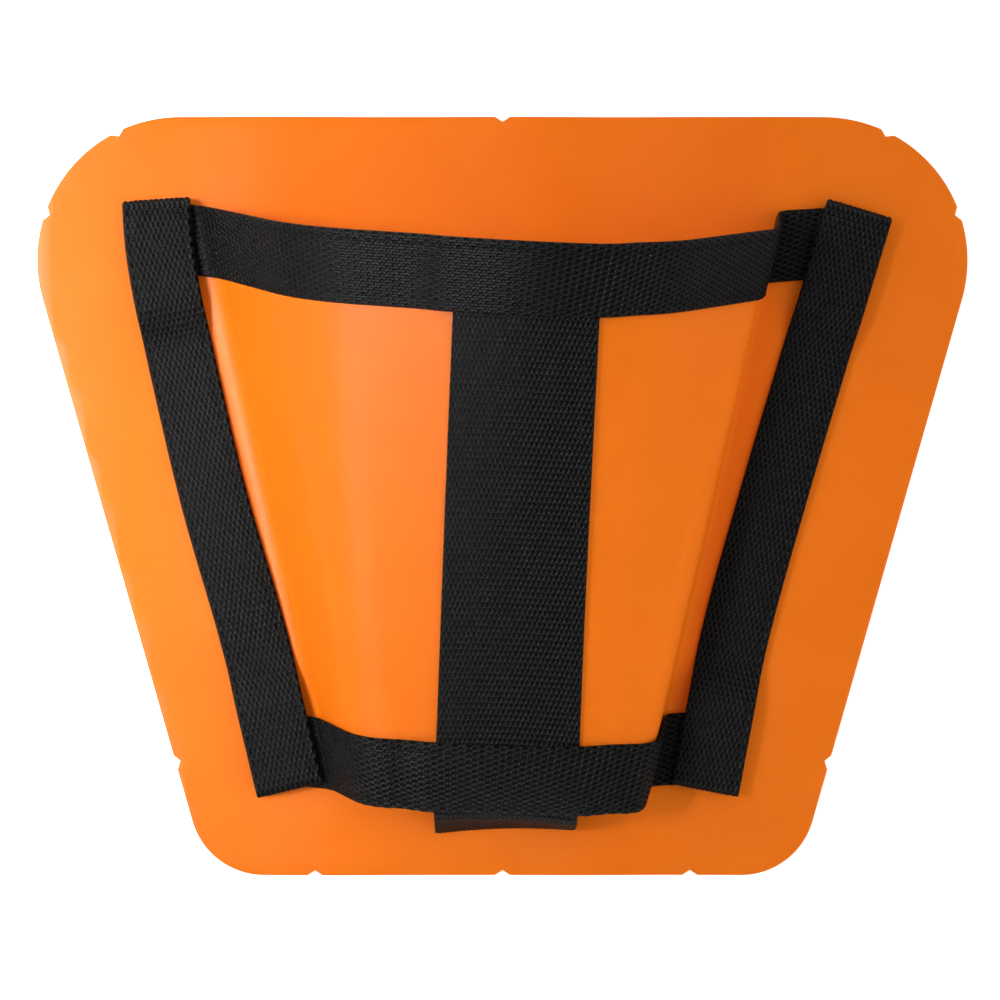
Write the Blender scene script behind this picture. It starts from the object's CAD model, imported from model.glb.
import math

import bmesh
import bpy
import numpy as np
from mathutils import Matrix, Vector


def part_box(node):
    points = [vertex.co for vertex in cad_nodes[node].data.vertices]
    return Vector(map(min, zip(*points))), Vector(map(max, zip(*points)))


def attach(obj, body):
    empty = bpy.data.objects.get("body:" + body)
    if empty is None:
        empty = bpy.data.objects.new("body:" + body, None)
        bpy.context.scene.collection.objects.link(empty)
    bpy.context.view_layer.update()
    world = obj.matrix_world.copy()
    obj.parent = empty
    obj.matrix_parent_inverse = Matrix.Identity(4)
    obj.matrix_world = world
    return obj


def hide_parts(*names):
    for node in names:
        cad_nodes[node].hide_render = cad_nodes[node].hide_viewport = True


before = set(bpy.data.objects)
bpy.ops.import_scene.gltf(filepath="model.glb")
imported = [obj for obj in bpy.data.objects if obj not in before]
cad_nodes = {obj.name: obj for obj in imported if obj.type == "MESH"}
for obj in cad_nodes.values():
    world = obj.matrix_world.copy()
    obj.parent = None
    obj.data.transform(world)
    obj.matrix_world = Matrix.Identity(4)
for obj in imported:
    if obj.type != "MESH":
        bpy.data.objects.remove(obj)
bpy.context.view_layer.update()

scene = bpy.context.scene
MM = 0.001

# ---- table, light and camera ---------------------------------------------------------
# The patch lies on a plain pale table. It is seen from straight above, a metre up, through
# a long lens. The light comes from all round, with soft boxes that brighten the left side.
camera_height = 1.0
camera = bpy.data.objects.new("camera", bpy.data.cameras.new("camera"))
camera.data.sensor_width = 36
camera.data.lens = 99
camera.data.clip_start = 0.05
camera.data.clip_end = 50
camera.location = (-0.9 * MM, -1.45 * MM, camera_height)
scene.collection.objects.link(camera)
scene.camera = camera


def soft_box(name, place, size, power, aim=(0, 0, 0.03), spread=180):
    """A square studio soft box, turned to face the tunnel."""
    lamp = bpy.data.lights.new(name, "AREA")
    lamp.shape = "SQUARE"
    lamp.size = size
    lamp.energy = power
    lamp.spread = math.radians(spread)
    box = bpy.data.objects.new(name, lamp)
    box.location = place
    box.rotation_mode = "QUATERNION"
    box.rotation_quaternion = (Vector(aim) - Vector(place)).to_track_quat("-Z", "Y")
    scene.collection.objects.link(box)
    return box


soft_box("key_box", (-0.55, 0.15, 0.9), 0.5, 0.15)
soft_box("edge_box", (-0.75, 0.08, 0.9), 0.3, 0.53, aim=(-0.22, 0.02, 0), spread=26)
soft_box("fill_box", (0.9, -0.1, 0.9), 1.0, 3.5)
# This one only gives the coating and the yarns their sheen.
gloss_box = soft_box("gloss_box", (-0.68, 0.05, 0.8), 0.5, 42.0)
gloss_box.visible_diffuse = False

scene.world = bpy.data.worlds.new("studio")
scene.world.use_nodes = True
scene.world.node_tree.nodes["Background"].inputs["Color"].default_value = (1, 1, 1, 1)
scene.world.node_tree.nodes["Background"].inputs["Strength"].default_value = 0.66
scene.view_settings.view_transform = "Standard"

table_drop = 0.3 * MM
table_bm = bmesh.new()
bmesh.ops.create_grid(table_bm, x_segments=8, y_segments=8, size=4)
bmesh.ops.translate(table_bm, verts=table_bm.verts, vec=(0, 0, -table_drop))
table_mesh = bpy.data.meshes.new("table_top")
table_bm.to_mesh(table_mesh)
table_bm.free()
table_top = bpy.data.objects.new("table_top", table_mesh)
scene.collection.objects.link(table_top)
table_paint = bpy.data.materials.new("table_paint")
table_paint.use_nodes = True
table_shader = table_paint.node_tree.nodes["Principled BSDF"]
table_shader.inputs["Base Color"].default_value = (0.85, 0.85, 0.85, 1)
table_shader.inputs["Roughness"].default_value = 0.9
table_shader.inputs["Emission Color"].default_value = (1, 1, 1, 1)
table_shader.inputs["Emission Strength"].default_value = 0.5
table_mesh.materials.append(table_paint)


# ---- base patch ----------------------------------------------------------------------
# A trapezium of PVC-coated fabric, cut with round corners and ten alignment notches. Its
# underside is glued to the boat. Loose on a table it never lies quite flat.
def lie(x, y):
    """How far the loose patch, and all that is sewn to it, stands off the table."""
    slow = np.sin(x / (13.5 * MM) + 0.9 * np.sin(y / (70 * MM)) + 0.5)
    quick = np.sin(x / (7.6 * MM) - y / (75 * MM) + 1.9)
    long_wave = np.sin(y / (38 * MM) + x / (95 * MM))
    return (0.85 + 0.42 * slow + 0.14 * quick + 0.25 * long_wave) * MM


def shader_node(tree, kind, inputs=None, **settings):
    made = tree.nodes.new(kind)
    for key, value in settings.items():
        setattr(made, key, value)
    for key, value in (inputs or {}).items():
        if isinstance(value, bpy.types.NodeSocket):
            tree.links.new(value, made.inputs[key])
        else:
            made.inputs[key].default_value = value
    return made


def reckon(tree, operation, a, b=0.0):
    return shader_node(tree, "ShaderNodeMath", {0: a, 1: b}, operation=operation).outputs[0]


def shader_group(name, inputs, outputs):
    """An empty node group with its named sockets, and its two end nodes."""
    tree = bpy.data.node_groups.new(name, "ShaderNodeTree")
    for socket, kind in inputs:
        tree.interface.new_socket(name=socket, in_out="INPUT", socket_type=kind)
    for socket in outputs:
        tree.interface.new_socket(name=socket, in_out="OUTPUT", socket_type="NodeSocketFloat")
    return tree, tree.nodes.new("NodeGroupInput"), tree.nodes.new("NodeGroupOutput")


# The coating shows a faint print of the cloth inside it, and is a little uneven itself.
scrim_pitch = 1.3 * MM
scrim, scrim_in, scrim_out = shader_group(
    "coated_scrim",
    [("Flat", "NodeSocketVector"), ("Pitch", "NodeSocketFloat")],
    ["Height", "Tone"],
)
scrim_xyz = shader_node(scrim, "ShaderNodeSeparateXYZ", {0: scrim_in.outputs["Flat"]})
scrim_waves = []
for axis in (0, 1):
    turns = reckon(scrim, "DIVIDE", scrim_xyz.outputs[axis], scrim_in.outputs["Pitch"])
    wave = reckon(scrim, "SINE", reckon(scrim, "MULTIPLY", turns, 2 * math.pi))
    scrim_waves.append(wave)
scrim_print = reckon(scrim, "MULTIPLY", scrim_waves[0], scrim_waves[1])
scrim_grain = shader_node(
    scrim, "ShaderNodeTexNoise",
    {"Vector": scrim_in.outputs["Flat"], "Scale": 1400.0, "Detail": 3.0, "Roughness": 0.6},
).outputs["Fac"]
scrim_mottle = shader_node(
    scrim, "ShaderNodeTexNoise",
    {"Vector": scrim_in.outputs["Flat"], "Scale": 28.0, "Detail": 4.0, "Roughness": 0.55},
).outputs["Fac"]
scrim_height = reckon(scrim, "ADD", reckon(scrim, "MULTIPLY", scrim_print, 0.25), scrim_grain)
scrim.links.new(scrim_height, scrim_out.inputs["Height"])
scrim.links.new(
    reckon(scrim, "ADD", reckon(scrim, "MULTIPLY", scrim_print, 0.05), scrim_mottle),
    scrim_out.inputs["Tone"],
)


def coated_fabric(name, flat_from):
    """Orange PVC-coated fabric with a satin face. flat_from says where its print lies: on
    the object's own coordinates, or on the attribute that keeps the unrolled cloth."""
    material = bpy.data.materials.new(name)
    material.use_nodes = True
    tree = material.node_tree
    shader = tree.nodes["Principled BSDF"]
    if flat_from == "object":
        flat = shader_node(tree, "ShaderNodeTexCoord").outputs["Object"]
    else:
        flat = shader_node(tree, "ShaderNodeAttribute", attribute_name=flat_from).outputs["Vector"]
    print_node = shader_node(tree, "ShaderNodeGroup", node_tree=scrim)
    print_node.inputs["Pitch"].default_value = scrim_pitch
    tree.links.new(flat, print_node.inputs["Flat"])
    colour = shader_node(tree, "ShaderNodeMix", {0: print_node.outputs["Tone"]}, data_type="RGBA")
    colour.inputs[6].default_value = (0.79, 0.153, 0.004, 1)
    colour.inputs[7].default_value = (0.88, 0.185, 0.006, 1)
    tree.links.new(colour.outputs[2], shader.inputs["Base Color"])
    rough = reckon(tree, "ADD", reckon(tree, "MULTIPLY", print_node.outputs["Tone"], 0.16), 0.33)
    tree.links.new(rough, shader.inputs["Roughness"])
    bump = shader_node(
        tree, "ShaderNodeBump",
        {"Height": print_node.outputs["Height"], "Strength": 0.22, "Distance": 0.12 * MM},
    )
    tree.links.new(bump.outputs["Normal"], shader.inputs["Normal"])
    shader.inputs["Specular IOR Level"].default_value = 0.065
    return material


def finish_piece(name, mesh, material, slot, *nodes):
    """Puts a finished mesh in the scene and says which CAD nodes it stands for."""
    mesh.materials.append(material)
    piece = bpy.data.objects.new(name, mesh)
    scene.collection.objects.link(piece)
    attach(piece, "root")
    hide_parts(*nodes)
    return piece


def to_smooth_mesh(bm, name, sharp=math.radians(50)):
    """Ends a bmesh: smooth faces, with hard edges only where it folds sharply."""
    for face in bm.faces:
        face.smooth = True
    for edge in bm.edges:
        edge.smooth = not (len(edge.link_faces) == 2 and edge.calc_face_angle(0) > sharp)
    mesh = bpy.data.meshes.new(name)
    bm.to_mesh(mesh)
    bm.free()
    return mesh


patch_thick = 1.2 * MM
patch_cell = 6 * MM
patch_rim = 0.25 * MM
patch_bm = bmesh.new()
patch_bm.from_mesh(cad_nodes["base_patch"].data)
bmesh.ops.remove_doubles(patch_bm, verts=patch_bm.verts, dist=0.01 * MM)
patch_bm.normal_update()
not_under = [f for f in patch_bm.faces if f.normal.z > -0.5]
bmesh.ops.delete(patch_bm, geom=not_under, context="FACES")
bmesh.ops.dissolve_faces(patch_bm, faces=patch_bm.faces[:])
patch_low, patch_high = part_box("base_patch")
for axis, way in ((0, (1, 0, 0)), (1, (0, 1, 0))):
    cut = patch_low[axis] + patch_cell
    while cut < patch_high[axis] - patch_cell / 2:
        at = (cut, 0, 0) if axis == 0 else (0, cut, 0)
        everything = patch_bm.verts[:] + patch_bm.edges[:] + patch_bm.faces[:]
        bmesh.ops.bisect_plane(patch_bm, geom=everything, dist=1e-6, plane_co=at, plane_no=way)
        cut += patch_cell
patch_top = bmesh.ops.extrude_face_region(patch_bm, geom=patch_bm.faces[:])
raised = [v for v in patch_top["geom"] if isinstance(v, bmesh.types.BMVert)]
bmesh.ops.translate(patch_bm, verts=raised, vec=(0, 0, patch_thick))
bmesh.ops.recalc_face_normals(patch_bm, faces=patch_bm.faces[:])
rim = [e for e in patch_bm.edges if len(e.link_faces) == 2 and e.calc_face_angle(0) > 1.2]
rim = [e for e in rim if abs(e.verts[0].co.z - e.verts[1].co.z) < 0.1 * MM]
bmesh.ops.bevel(
    patch_bm, geom=rim, offset=patch_rim, segments=2, profile=0.5, affect="EDGES", material=-1,
)
for vert in patch_bm.verts:
    vert.co.z += lie(vert.co.x, vert.co.y)
patch_mesh = to_smooth_mesh(patch_bm, "patch_cloth")
patch_cloth = finish_piece(
    "patch_cloth", patch_mesh, coated_fabric("orange_patch", "object"),
    "coated_fabric", "base_patch",
)

# ---- tunnel panel --------------------------------------------------------------------
# One piece of the same fabric, arched over the foot and sewn to the patch along both feet.
# It is part of a cone: wide and high at the mouth, low and narrow at the toe.
apex = np.array([-6.8, -336.4, 1.6]) * MM
instep_station = 414.9 * MM
toe_station = 239.9 * MM
instep_corners = np.array([
    (-111, 0, 0), (-96, 0, 6.5), (-62, 50, 22), (44, 88, 58),
    (98.5, 27, 5), (100, 0, 3), (116.8, 0, 0),
]) * MM
toe_corners = np.array([
    (-66, 0, 0), (-56.2, 0, 6), (-41, 25, 11), (12, 31, 36),
    (57.5, 27.5, 8), (60, 0, 3.5), (67.7, 0, 0),
]) * MM
flange_reach = 11 * MM
flange_dip = 2.5 * MM
toe_height = 31 * MM
droop_from = 251 * MM
droop_radius = 42 * MM
panel_thick = 1.1 * MM
web_thick = 1.5 * MM
layer_gap = 0.4 * MM
layer_step = web_thick + layer_gap
first_layer = panel_thick + layer_gap + web_thick / 2
instep_band_at = (416.9 * MM, 0.504, 0.356)
toe_band_at = (239.2 * MM, 0.492, 0.3427)
piece_count = 2 * (len(instep_corners) - 2) + 1
samples = 24


def unit(vectors):
    return vectors / np.linalg.norm(vectors, axis=-1, keepdims=True)


def pushed_out(corners, lift):
    """The corners of a section moved out square to its sides."""
    sides = unit(np.diff(corners[:, :2], axis=0))
    square = np.stack([-sides[:, 1], sides[:, 0]], axis=1)
    before = np.vstack([square[:1], square])
    after = np.vstack([square, square[-1:]])
    scale = lift / (1 + (before * after).sum(axis=1))
    moved = corners.copy()
    moved[:, :2] += (before + after) * scale[:, None]
    return moved


def rounded_chain(corners):
    """Lines and rounded corners in turn, each sampled evenly along its length."""
    chain = []
    here = corners[0, :2]
    for i in range(1, len(corners) - 1):
        corner = corners[i, :2]
        to_before = corners[i - 1, :2] - corner
        to_after = corners[i + 1, :2] - corner
        cut_in = min(corners[i, 2], 0.49 * np.linalg.norm(to_before))
        cut_out = min(corners[i, 2], 0.49 * np.linalg.norm(to_after))
        start = corner + unit(to_before) * cut_in
        end = corner + unit(to_after) * cut_out
        chain.append((here, (here + start) / 2, start))
        chain.append((start, corner, end))
        here = end
    last = corners[-1, :2]
    chain.append((here, (here + last) / 2, last))
    t = np.linspace(0, 1, 200)[:, None]
    points, lengths = [], []
    for a, b, c in chain:
        curve = a * (1 - t) ** 2 + 2 * b * t * (1 - t) + c * t ** 2
        run = np.concatenate([[0], np.linalg.norm(np.diff(curve, axis=0), axis=1).cumsum()])
        even = np.linspace(0, run[-1], samples + 1)
        points.append(np.stack([np.interp(even, run, curve[:, k]) for k in (0, 1)], axis=1)[:-1])
        lengths.append(run[-1])
    points.append(last[None, :])
    return np.vstack(points), np.concatenate([[0], np.cumsum(lengths)])


sections = {}


def section(lift):
    """Both measured sections of the tunnel for a layer that lies that far out."""
    key = round(lift / MM, 4)
    if key not in sections:
        both = [rounded_chain(pushed_out(c, lift)) for c in (toe_corners, instep_corners)]
        sections[key] = both
    return sections[key]


sample_places = np.arange(piece_count * samples + 1) / samples


def station_share(distance):
    return (distance - toe_station) / (instep_station - toe_station)


def length_at(place, distance):
    """Length round the unrolled cone from the left foot to a place."""
    (_, toe_run), (_, instep_run) = section(first_layer)
    whole = np.arange(piece_count + 1)
    toe_angle = np.interp(place, whole, toe_run) / toe_station
    instep_angle = np.interp(place, whole, instep_run) / instep_station
    return distance * (toe_angle + (instep_angle - toe_angle) * station_share(distance))


def place_at(length, distance):
    """The place that lies a length round the cone, found by halving."""
    low = np.zeros_like(length)
    high = np.full_like(length, piece_count)
    for _ in range(34):
        middle = (low + high) / 2
        short = length_at(middle, distance) < length
        low = np.where(short, middle, low)
        high = np.where(short, high, middle)
    return (low + high) / 2


def from_apex(place, distance, lift):
    (toe, _), (instep, _) = section(lift)
    rays = []
    for points, station in ((toe, toe_station), (instep, instep_station)):
        x = np.interp(place, sample_places, points[:, 0])
        z = np.interp(place, sample_places, points[:, 1])
        rays.append(unit(np.stack([x, np.full_like(x, station), z], axis=1)))
    share = station_share(distance)[:, None]
    return unit(rays[0] + (rays[1] - rays[0]) * share)


def on_arch(place, distance, lift):
    """A point of the tunnel. Near the toe the roof rolls down, pulled by the toe stop."""
    point = from_apex(place, distance, lift) * distance[:, None]
    ruling = from_apex(place, distance, panel_thick / 2)
    rise = point - ruling * distance[:, None]
    turn = np.clip((droop_from - distance) / droop_radius, 0, None)
    outward = unit(ruling * (1, 1, 0))
    bent = ruling * (droop_from - droop_radius * np.sin(turn))[:, None]
    bent[:, 2] *= 1 - droop_radius * (1 - np.cos(turn)) / toe_height
    bent -= outward * (rise[:, 2] * np.sin(turn))[:, None]
    bent += rise * np.stack([np.ones_like(turn), np.ones_like(turn), np.cos(turn)], axis=1)
    return np.where((distance > droop_from)[:, None], point, bent) + apex


def across_tunnel(place, distance_at, lift):
    """The arch and the two flat margins beyond its feet."""
    foot = np.clip(place, 0, piece_count)
    point = on_arch(foot, distance_at(foot), lift)
    point[:, 0] += (place - foot) * flange_reach
    point[:, 1] -= np.abs(place - foot) * flange_dip * station_share(distance_at(foot))
    return point


def band_line(band, offset):
    """A straight band laid round a cone drifts away from its point towards the ends."""
    distance, middle, half_angle = band
    width = length_at(np.array([float(piece_count)]), distance)[0]

    def distance_at(place):
        share = length_at(place, distance) / width
        return (distance + offset) / np.cos((share - middle) * 2 * half_angle)

    return distance_at


def surface_and_normal(surface, u, v, step=0.02 * MM):
    here = surface(u, v)
    along = surface(u + step, v) - surface(u - step, v)
    across = surface(u, v + step) - surface(u, v - step)
    return here, unit(np.cross(along, across))


pick_reach = 0.2 * MM


def lay(mesh, surface, thickness, relief=None, picks=None):
    """Bends a flat cut piece over a surface. Flat, x runs along the piece, y across it, and z
    is 1 on its outer face and -1 on its inner face. The flat place stays as an attribute.
    picks gives a woven strip the small loops its weft leaves along both edges."""
    flat = np.empty(len(mesh.vertices) * 3)
    mesh.vertices.foreach_get("co", flat)
    flat = flat.reshape(-1, 3)
    u, v, side = flat[:, 0], flat[:, 1].copy(), flat[:, 2]
    if picks is not None:
        at_edge = np.abs(v) > np.abs(v).max() - 0.01 * MM
        v += np.sign(v) * at_edge * pick_reach * np.cos(2 * np.pi * u / picks)
    here, normal = surface_and_normal(surface, u, v)
    out = side * thickness(u, v) / 2
    if relief is not None:
        out = out + np.where(side > 0, relief(u, v), 0)
    laid = here + normal * out[:, None]
    laid[:, 2] += lie(laid[:, 0], laid[:, 1])
    mesh.vertices.foreach_set("co", laid.ravel())
    attribute = mesh.attributes.new("flat", "FLOAT_VECTOR", "POINT")
    attribute.data.foreach_set("vector", flat.astype(np.float32).ravel())
    mesh.update()


def cut_flat(name, length, width, along_steps, across_steps, fine_cuts=0):
    """Cuts a flat strip with two faces. The outer face may be meshed finer than the inner."""
    bm = bmesh.new()
    bmesh.ops.create_grid(bm, x_segments=along_steps, y_segments=across_steps, size=0.5)
    bmesh.ops.scale(bm, verts=bm.verts, vec=(length, width, 1))
    bmesh.ops.translate(bm, verts=bm.verts, vec=(length / 2, 0, -1))
    outer = bmesh.ops.extrude_face_region(bm, geom=bm.faces[:])["geom"]
    outer_verts = [v for v in outer if isinstance(v, bmesh.types.BMVert)]
    bmesh.ops.translate(bm, verts=outer_verts, vec=(0, 0, 2))
    if fine_cuts:
        edges = {e for f in outer if isinstance(f, bmesh.types.BMFace) for e in f.edges}
        bmesh.ops.subdivide_edges(bm, edges=list(edges), cuts=fine_cuts, use_grid_fill=True)
    bmesh.ops.recalc_face_normals(bm, faces=bm.faces[:])
    return to_smooth_mesh(bm, name)


edge_tuck = 6 * MM
panel_toe_line = band_line(toe_band_at, -edge_tuck)
panel_mouth_line = band_line(instep_band_at, edge_tuck)
panel_middle = (toe_station + instep_station) / 2
panel_arch = length_at(np.array([float(piece_count)]), panel_middle)[0]
panel_flat = (panel_arch + 2 * flange_reach, 196 * MM)
panel_steps = (220, 90)


def panel_surface(u, v):
    """u runs across the tunnel from foot to foot, v from the toe to the mouth."""
    round_arch = u - flange_reach
    place = place_at(np.clip(round_arch, 0, panel_arch), np.full_like(u, panel_middle))
    place = np.where(round_arch < 0, round_arch / flange_reach, place)
    beyond = round_arch - panel_arch
    place = np.where(beyond > 0, piece_count + beyond / flange_reach, place)
    down = np.clip(v / panel_flat[1] + 0.5, -0.001, 1.001)

    def distance_at(p):
        toe, mouth = panel_toe_line(p), panel_mouth_line(p)
        return toe + (mouth - toe) * down

    return across_tunnel(place, distance_at, panel_thick / 2)


panel_mesh = cut_flat("tunnel_cloth", *panel_flat, *panel_steps)
lay(panel_mesh, panel_surface, lambda u, v: np.full_like(u, panel_thick))
tunnel_cloth = finish_piece(
    "tunnel_cloth", panel_mesh, coated_fabric("orange_panel", "flat"),
    "coated_fabric", "tunnel_panel",
)

# ---- centre strap --------------------------------------------------------------------
# 50 mm black polyester webbing along the roof. It starts under the instep band, passes
# under the toe band, drops to the patch as a toe stop and turns back inside, sewn down.
pit_sharpness = 1.4
pit_roundness = 3.6
pit_depth = 1.5
rows_before = 200.0
weave, weave_in, weave_out = shader_group(
    "woven_yarns",
    [
        ("Flat", "NodeSocketVector"), ("Row", "NodeSocketFloat"),
        ("Column", "NodeSocketFloat"), ("Slant", "NodeSocketFloat"),
    ],
    ["Height", "Tone"],
)
weave_xyz = shader_node(weave, "ShaderNodeSeparateXYZ", {0: weave_in.outputs["Flat"]})
weave_rank = reckon(weave, "DIVIDE", weave_xyz.outputs[0], weave_in.outputs["Row"])
weave_rank = reckon(weave, "ADD", weave_rank, rows_before)
weave_row = reckon(weave, "FLOOR", weave_rank)
weave_odd = reckon(weave, "MODULO", weave_row, 2.0)
weave_beside = reckon(weave, "SUBTRACT", reckon(weave, "SUBTRACT", weave_rank, weave_row), 0.5)
weave_beside = reckon(weave, "ABSOLUTE", weave_beside)
weave_phase = reckon(weave, "DIVIDE", weave_xyz.outputs[1], weave_in.outputs["Column"])
weave_phase = reckon(weave, "ADD", weave_phase, reckon(weave, "MULTIPLY", weave_odd, 0.5))
weave_lean = reckon(weave, "MULTIPLY", weave_beside, weave_in.outputs["Slant"])
weave_phase = reckon(weave, "ADD", weave_phase, weave_lean)
weave_wave = reckon(weave, "COSINE", reckon(weave, "MULTIPLY", weave_phase, 2 * math.pi))
weave_wave = reckon(weave, "ADD", reckon(weave, "MULTIPLY", weave_wave, 0.5), 0.5)
weave_wave = reckon(weave, "POWER", weave_wave, pit_sharpness)
weave_round = reckon(weave, "MULTIPLY", weave_beside, weave_beside)
weave_round = reckon(weave, "MULTIPLY", weave_round, pit_roundness)
weave_pit = reckon(weave, "MULTIPLY", weave_wave, reckon(weave, "SUBTRACT", 1.0, weave_round))
weave_pit = reckon(weave, "MINIMUM", reckon(weave, "MULTIPLY", weave_pit, pit_depth), 1.0)
weave_height = reckon(weave, "SUBTRACT", 1.0, weave_pit)
weave_fibre = shader_node(
    weave, "ShaderNodeTexNoise",
    {"Vector": weave_in.outputs["Flat"], "Scale": 2600.0, "Detail": 2.0, "Roughness": 0.6},
).outputs["Fac"]
weave_patchy = shader_node(
    weave, "ShaderNodeTexNoise",
    {"Vector": weave_in.outputs["Flat"], "Scale": 160.0, "Detail": 3.0, "Roughness": 0.6},
).outputs["Fac"]
weave.links.new(
    reckon(weave, "ADD", weave_height, reckon(weave, "MULTIPLY", weave_fibre, 0.35)),
    weave_out.inputs["Height"],
)
weave_uneven = reckon(weave, "ADD", reckon(weave, "MULTIPLY", weave_patchy, 0.9), 0.35)
weave_tone = reckon(weave, "MULTIPLY", weave_height, weave_uneven)
weave.links.new(
    reckon(weave, "ADD", weave_tone, reckon(weave, "MULTIPLY", weave_fibre, 0.06)),
    weave_out.inputs["Tone"],
)


def black_webbing(name, row, column, slant):
    """Matte black webbing: rows of yarns across the strap, with a small dark pit between each
    two yarns. Each row is set half a yarn off the last one."""
    material = bpy.data.materials.new(name)
    material.use_nodes = True
    tree = material.node_tree
    shader = tree.nodes["Principled BSDF"]
    flat = shader_node(tree, "ShaderNodeAttribute", attribute_name="flat").outputs["Vector"]
    yarns = shader_node(tree, "ShaderNodeGroup", node_tree=weave)
    for key, value in (("Row", row), ("Column", column), ("Slant", slant)):
        yarns.inputs[key].default_value = value
    tree.links.new(flat, yarns.inputs["Flat"])
    colour = shader_node(tree, "ShaderNodeMix", {0: yarns.outputs["Tone"]}, data_type="RGBA")
    colour.inputs[6].default_value = (0.0003, 0.0003, 0.0004, 1)
    colour.inputs[7].default_value = (0.0126, 0.0126, 0.0129, 1)
    tree.links.new(colour.outputs[2], shader.inputs["Base Color"])
    bump = shader_node(
        tree, "ShaderNodeBump",
        {"Height": yarns.outputs["Height"], "Strength": 1.0, "Distance": 0.36 * MM},
    )
    tree.links.new(bump.outputs["Normal"], shader.inputs["Normal"])
    shader.inputs["Roughness"].default_value = 0.36
    shader.inputs["Specular IOR Level"].default_value = 0.05
    return material


groove_depth = 0.16 * MM
groove_width = 0.9 * MM
crease_width = 0.8 * MM
crease_share = 1.6
selvedge = 0.9 * MM
selvedge_share = 0.3


def yarn_relief(row, column, slant, height, seams=(), creases=()):
    """The yarns' own relief, the shallow grooves that rows of stitches pull into them, and
    the creases across the strap where a turned end begins."""
    def relief(u, v):
        rank = u / row + rows_before
        odd = np.mod(np.floor(rank), 2)
        beside = np.abs(rank - np.floor(rank) - 0.5)
        phase = v / column + odd * 0.5 + beside * slant
        wave = (0.5 + 0.5 * np.cos(2 * np.pi * phase)) ** pit_sharpness
        raised = 1 - np.minimum(pit_depth * wave * (1 - pit_roundness * beside ** 2), 1)
        sunk = sum(np.exp(-((v - seam) / groove_width) ** 2) for seam in seams)
        bent = sum(np.exp(-((u - crease) / crease_width) ** 2) for crease in creases)
        return height * raised - groove_depth * (sunk + crease_share * bent)
    return relief


def rounded_edges(thick, width):
    """Webbing is thinner at its woven edges."""
    def thickness(u, v):
        inward = np.clip((width / 2 - np.abs(v)) / selvedge, 0, 1)
        full = np.sqrt(1 - (1 - inward) ** 2)
        return thick * (selvedge_share + (1 - selvedge_share) * full)
    return thickness


band_width = 25 * MM
centre_width = 51 * MM
centre_middle = 0.5165
strap_top = instep_band_at[0] + 10 * MM
strap_bend = toe_band_at[0] - band_width / 2
floor_mid = patch_thick + layer_gap + web_thick / 2
stop_height = 22 * MM
stop_skew = 0.07
stop_corners = np.array([(0, 22, 0), (-3, 19.8, 3), (-8.7, 0, 2.6), (15.3, 0, 0)]) * MM
stop_chain, stop_run = rounded_chain(stop_corners)
roof_length = strap_top - strap_bend
centre_length = roof_length + stop_run[-1]


def on_centre(across, distance, lift):
    full = length_at(np.full_like(distance, piece_count), distance)
    return on_arch(place_at(centre_middle * full + across, distance), distance, lift)


def centre_surface(u, v):
    roof = on_centre(v, strap_top - np.minimum(u, roof_length), first_layer)
    past = np.clip(u - roof_length, 0, stop_run[-1] + MM)
    even = np.interp(past, stop_run, np.arange(len(stop_run))) * samples
    index = np.arange(len(stop_chain))
    x = np.interp(even, index, stop_chain[:, 0])
    z = np.interp(even, index, stop_chain[:, 1])
    down = floor_mid + (roof[:, 2] - floor_mid) * (z / stop_height)
    skew = stop_skew * v * (1 - z / stop_height)
    stop = np.stack([roof[:, 0], roof[:, 1] + x + skew, down], axis=1)
    return np.where((u > roof_length)[:, None], stop, roof)


# Each webbing has its row pitch, its yarn pitch and the yarns' slant, then its relief.
centre_yarns = (2.13 * MM, centre_width / 29, 0.5)
centre_relief = 0.24 * MM
centre_rows = round(centre_length / centre_yarns[0] * 2)
centre_mesh = cut_flat(
    "centre_webbing", centre_length, centre_width, centre_rows, 40, fine_cuts=2,
)
lay(
    centre_mesh, centre_surface, rounded_edges(web_thick, centre_width),
    yarn_relief(*centre_yarns, centre_relief), picks=centre_length / centre_rows,
)
finish_piece(
    "centre_webbing", centre_mesh, black_webbing("black_centre", *centre_yarns),
    "webbing", "centre_strap",
)

# ---- instep band and toe band --------------------------------------------------------
# Two straight lengths of 25 mm webbing over the mouth edge and the toe edge of the tunnel.
# Each steps up over the centre strap, and its ends are sewn down under the side straps.
step_from = centre_width / 2 + 1 * MM
step_to = centre_width / 2 + 15 * MM


def band_surface(band):
    distance = band[0]
    arch = length_at(np.array([float(piece_count)]), distance)[0]
    fine_places = np.linspace(0, piece_count, 1101)
    fine_lengths = length_at(fine_places, distance)

    def place_of(u):
        place = np.interp(u - flange_reach, fine_lengths, fine_places)
        place = np.where(u < flange_reach, (u - flange_reach) / flange_reach, place)
        beyond = u - flange_reach - arch
        return np.where(beyond > 0, piece_count + beyond / flange_reach, place)

    def surface(u, v):
        place = place_of(u)
        distance_at = band_line(band, v)
        point = across_tunnel(place, distance_at, first_layer)
        there = distance_at(np.clip(place, 0, piece_count))
        full = length_at(np.full_like(u, piece_count), there)
        here = length_at(np.clip(place, 0, piece_count), there)
        from_strap = np.abs(here - centre_middle * full)
        t = np.clip((from_strap - step_from) / (step_to - step_from), 0, 1)
        step = layer_step * (1 - t * t * (3 - 2 * t))
        ahead = across_tunnel(place + 0.02, distance_at, first_layer)
        beside = across_tunnel(place, band_line(band, v + 0.4 * MM), first_layer)
        return point + unit(np.cross(ahead - point, beside - point)) * step[:, None]

    return surface, arch + 2 * flange_reach, fine_lengths


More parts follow.
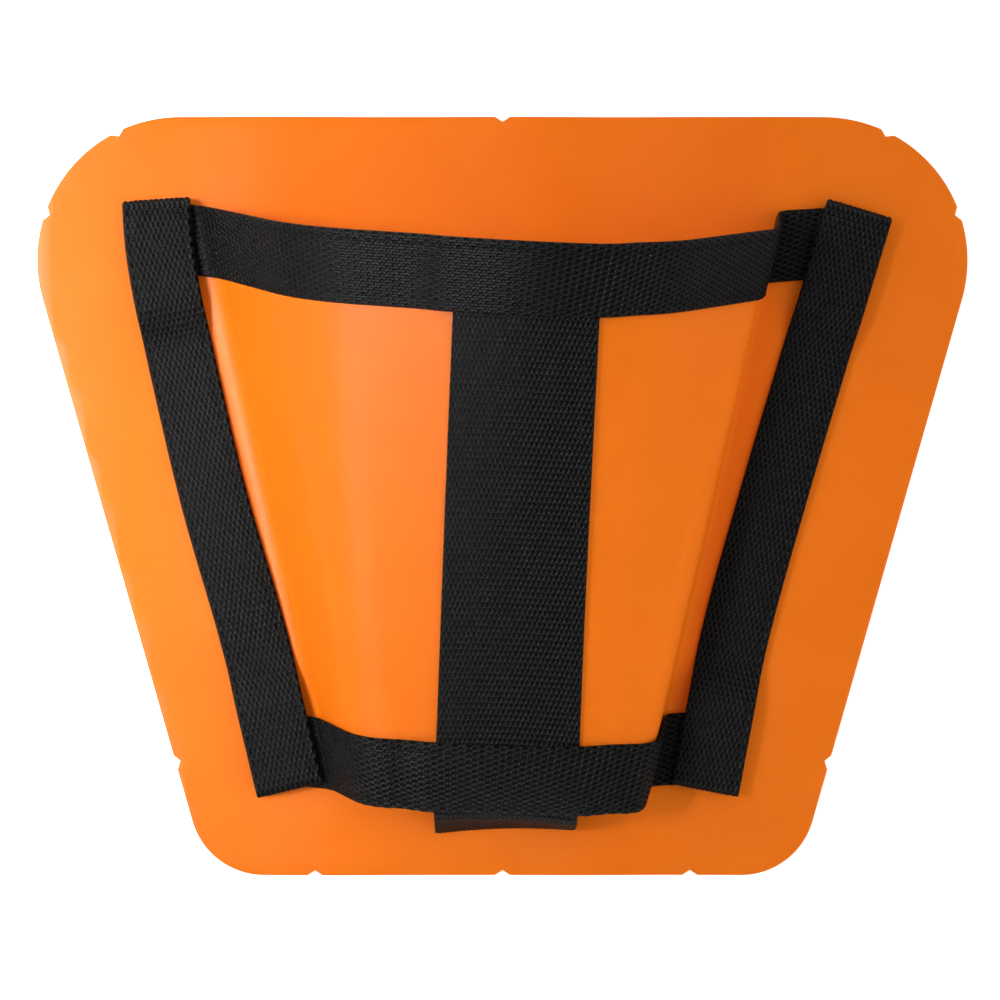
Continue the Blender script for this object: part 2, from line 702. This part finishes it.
band_yarns = (2.35 * MM, band_width / 13, 0.5)
band_relief = 0.28 * MM
band_seam_out = 9.5 * MM
for band_name, band, node in (
    ("instep_webbing", instep_band_at, "instep_band"),
    ("toe_webbing", toe_band_at, "toe_band"),
):
    surface, length, _ = band_surface(band)
    band_rows = round(length / band_yarns[0] * 2)
    mesh = cut_flat(band_name, length, band_width, band_rows, 16, fine_cuts=3)
    lay(
        mesh, surface, rounded_edges(web_thick, band_width),
        yarn_relief(*band_yarns, band_relief, seams=(-band_seam_out, band_seam_out)),
        picks=length / band_rows,
    )
    finish_piece(band_name, mesh, black_webbing("black_" + node, *band_yarns), "webbing", node)

# ---- side straps ---------------------------------------------------------------------
# 25 mm webbing along the two feet of the tunnel, laid over the ends of the bands and sewn
# through to the patch. Both ends are turned under, which makes them twice as thick.
side_width = 24 * MM
fold_radius = layer_step / 2
low_level = apex[2] + first_layer
fold_level = low_level + layer_step
top_level = fold_level + layer_step
mouth_fold, mouth_flat = 29 * MM, 35 * MM
toe_fold, toe_flat = 24 * MM, 30 * MM
drop_run = 18 * MM


def spline_line(points):
    """A smooth line through points on the patch, sampled evenly."""
    p = np.array(points) * MM
    p = np.vstack([p[:1], p, p[-1:]])
    t = np.linspace(0, 1, 120, endpoint=False)[:, None]
    runs = []
    for a, b, c, d in zip(p[:-3], p[1:-2], p[2:-1], p[3:]):
        ease_in, ease_out = (c - a) / 2, (d - b) / 2
        runs.append(
            (2 * b - 2 * c + ease_in + ease_out) * t ** 3
            + (-3 * b + 3 * c - 2 * ease_in - ease_out) * t ** 2 + ease_in * t + b
        )
    line = np.vstack(runs + [p[-1:]])
    run = np.concatenate([[0], np.linalg.norm(np.diff(line, axis=0), axis=1).cumsum()])
    return line, run


def side_profile(length):
    """The strap seen from its side: how far along its line, and how high."""
    middle = fold_level + fold_radius

    def fold(at, turn):
        x = at + fold_radius * np.cos(turn)
        return np.stack([x, middle + fold_radius * np.sin(turn)], axis=1)

    rows = [np.array([(mouth_fold, fold_level)])]
    rows.append(fold(fold_radius, np.linspace(-math.pi / 2, -3 * math.pi / 2, 25)))
    t = np.linspace(0, 1, 30)[:, None]
    ease = t * t * (3 - 2 * t)
    falling = np.hstack([mouth_flat + drop_run * t, top_level + (low_level - top_level) * ease])
    start = length - toe_flat - drop_run
    rising = np.hstack([start + drop_run * t, low_level + (top_level - low_level) * ease])
    rows += [falling, rising]
    rows.append(fold(length - fold_radius, np.linspace(math.pi / 2, -math.pi / 2, 25)))
    rows.append(np.array([(length - toe_fold, fold_level)]))
    path = np.vstack(rows)
    run = np.concatenate([[0], np.linalg.norm(np.diff(path, axis=0), axis=1).cumsum()])
    return path, run


def side_surface(line, line_run, path, path_run):
    def surface(u, v):
        s = np.interp(u, path_run, path[:, 0])
        z = np.interp(u, path_run, path[:, 1])
        point = np.stack([np.interp(s, line_run, line[:, k]) for k in (0, 1)], axis=1)
        ahead = np.stack([np.interp(s + MM, line_run, line[:, k]) for k in (0, 1)], axis=1)
        behind = np.stack([np.interp(s - MM, line_run, line[:, k]) for k in (0, 1)], axis=1)
        along = unit(ahead - behind)
        return np.stack([point[:, 0] - along[:, 1] * v, point[:, 1] + along[:, 0] * v, z], axis=1)
    return surface


side_yarns = (2.2 * MM, side_width / 13, 0.5)
side_relief = 0.24 * MM
side_seam_out = 9.8 * MM
crease_at = 3.4 * MM
side_lines = {
    "left": [
        (-125, 106.3), (-123.3, 86), (-116.8, 52), (-104.7, 0), (-89.8, -52), (-76.8, -105.4),
    ],
    "right": [(128.9, 103.1), (113.5, 52), (98, 0), (83.8, -52), (73.2, -105.6)],
}
side_straps = {}
for side, points in side_lines.items():
    line, line_run = spline_line(points)
    path, path_run = side_profile(line_run[-1])
    surface = side_surface(line, line_run, path, path_run)
    side_straps[side] = (surface, path_run)
    top_start = mouth_fold - fold_radius + math.pi * fold_radius
    side_rows = round(path_run[-1] / side_yarns[0] * 2)
    mesh = cut_flat(side + "_side_webbing", path_run[-1], side_width, side_rows, 16, fine_cuts=3)
    lay(
        mesh, surface, rounded_edges(web_thick, side_width),
        yarn_relief(
            *side_yarns, side_relief,
            seams=(-side_seam_out, side_seam_out), creases=(top_start + crease_at,),
        ),
        picks=path_run[-1] / side_rows,
    )
    finish_piece(
        side + "_side_webbing", mesh, black_webbing("black_" + side, *side_yarns),
        "webbing", side + "_side_strap",
    )

# ---- sewing --------------------------------------------------------------------------
# Bonded black thread, lockstitched by machine. Each stitch is a short raised loop, pulled
# down into the webbing at both ends. The strap ends are held by boxes with a cross in them.
thread_material = bpy.data.materials.new("black_thread")
thread_material.use_nodes = True
thread_tree = thread_material.node_tree
thread_shader = thread_tree.nodes["Principled BSDF"]
thread_twist = shader_node(
    thread_tree, "ShaderNodeTexWave",
    {
        "Vector": shader_node(thread_tree, "ShaderNodeTexCoord").outputs["Object"],
        "Scale": 900.0, "Distortion": 1.5,
    },
    bands_direction="DIAGONAL",
)
thread_colour = shader_node(
    thread_tree, "ShaderNodeMix", {0: thread_twist.outputs["Fac"]}, data_type="RGBA",
)
thread_colour.inputs[6].default_value = (0.002, 0.002, 0.0022, 1)
thread_colour.inputs[7].default_value = (0.010, 0.010, 0.011, 1)
thread_tree.links.new(thread_colour.outputs[2], thread_shader.inputs["Base Color"])
thread_bump = shader_node(
    thread_tree, "ShaderNodeBump",
    {"Height": thread_twist.outputs["Fac"], "Strength": 0.5, "Distance": 0.08 * MM},
)
thread_tree.links.new(thread_bump.outputs["Normal"], thread_shader.inputs["Normal"])
thread_shader.inputs["Roughness"].default_value = 0.45
thread_shader.inputs["Specular IOR Level"].default_value = 0.05

stitch_pitch = 3.4 * MM
stitch_share = 0.94
stitch_wide = 0.6 * MM
stitch_high = 0.36 * MM
stitch_lift = 0.05 * MM


def sew(name, surface, runs, node, face=1):
    """Stitches along straight runs, given in the flat strap's own lengths."""
    starts, ends = [], []
    for (u0, v0), (u1, v1) in runs:
        count = max(1, round(math.hypot(u1 - u0, v1 - v0) / stitch_pitch))
        t = np.arange(count + 1) / count
        u, v = u0 + (u1 - u0) * t, v0 + (v1 - v0) * t
        starts.append(np.stack([u[:-1], v[:-1]], axis=1))
        ends.append(np.stack([u[1:], v[1:]], axis=1))
    starts, ends = np.vstack(starts), np.vstack(ends)
    middle = (starts + ends) / 2
    centre, normal = surface_and_normal(surface, middle[:, 0], middle[:, 1])
    reach = surface(ends[:, 0], ends[:, 1]) - surface(starts[:, 0], starts[:, 1])
    centre = centre + face * normal * (web_thick / 2 + stitch_lift)
    centre[:, 2] += lie(centre[:, 0], centre[:, 1])
    length = np.linalg.norm(reach, axis=1)
    along = unit(reach)
    side = unit(np.cross(face * normal, along))
    up = np.cross(along, side)
    bm = bmesh.new()
    for c, a, s, n, l in zip(centre, along, side, up, length):
        axes = Matrix((a * l * stitch_share, s * stitch_wide, n * stitch_high)).transposed()
        placed = Matrix.Translation(c) @ axes.to_4x4()
        bmesh.ops.create_icosphere(bm, subdivisions=1, radius=0.5, matrix=placed)
    bmesh.ops.recalc_face_normals(bm, faces=bm.faces[:])
    finish_piece(name, to_smooth_mesh(bm, name), thread_material, "thread", node)


def crossed_box(u0, u1, half):
    """The four sides of a box stitch, and the cross in it."""
    corners = [(u0, -half), (u1, -half), (u1, half), (u0, half)]
    sides = [(corners[i], corners[(i + 1) % 4]) for i in range(4)]
    return sides + [(corners[0], corners[2]), (corners[1], corners[3])]


side_box_half = 8.25 * MM
for side, (surface, path_run) in side_straps.items():
    top_start = mouth_fold - fold_radius + math.pi * fold_radius
    top_end = path_run[-1] - (toe_fold - fold_radius + math.pi * fold_radius)
    inwards = side_seam_out if side == "left" else -side_seam_out
    for row, v in (("inner", inwards), ("outer", -inwards)):
        sew(
            f"{side}_{row}_row", surface, [((top_start + 4 * MM, v), (top_end - 3 * MM, v))],
            f"{side}_strap_seam_{row}",
        )
    mouth_box = crossed_box(top_start + 4 * MM, top_start + 32 * MM, side_box_half)
    toe_box = crossed_box(top_end - 22 * MM, top_end - 5 * MM, side_box_half)
    sew(f"{side}_mouth_box", surface, mouth_box, f"{side}_box_stitch_mouth")
    sew(f"{side}_toe_box", surface, toe_box, f"{side}_box_stitch_toe")

row_start = strap_top - (instep_band_at[0] - 14.5 * MM)
row_end = strap_top - (toe_band_at[0] + 15.5 * MM)
for side, v in (("left", -21 * MM), ("right", 21 * MM)):
    sew(
        f"centre_{side}_row", centre_surface, [((row_start, v), (row_end, v))],
        f"centre_strap_seam_{side}",
    )
turn_at = (strap_top - 342 * MM, 19.3 * MM)
sew(
    "centre_crossing_thread", centre_surface,
    [((row_start, -13 * MM), turn_at), (turn_at, (strap_top - 262 * MM, -18.5 * MM))],
    "centre_strap_crossing",
)
for band_name, band in (("instep", instep_band_at), ("toe", toe_band_at)):
    surface, length, lengths = band_surface(band)
    first = flange_reach + np.interp(1.6 / piece_count, np.linspace(0, 1, 1101), lengths)
    last = flange_reach + np.interp(1 - 1.4 / piece_count, np.linspace(0, 1, 1101), lengths)
    for row, v in (("upper", band_seam_out), ("lower", -band_seam_out)):
        sew(
            f"{band_name}_{row}_row", surface, [((first, v), (last, v))],
            f"{band_name}_band_seam_{row}",
        )
foot_from = centre_length - 17 * MM
sew(
    "toe_foot_box", centre_surface, crossed_box(foot_from, foot_from + 14 * MM, 20 * MM),
    "toe_foot_stitch", face=-1,
)
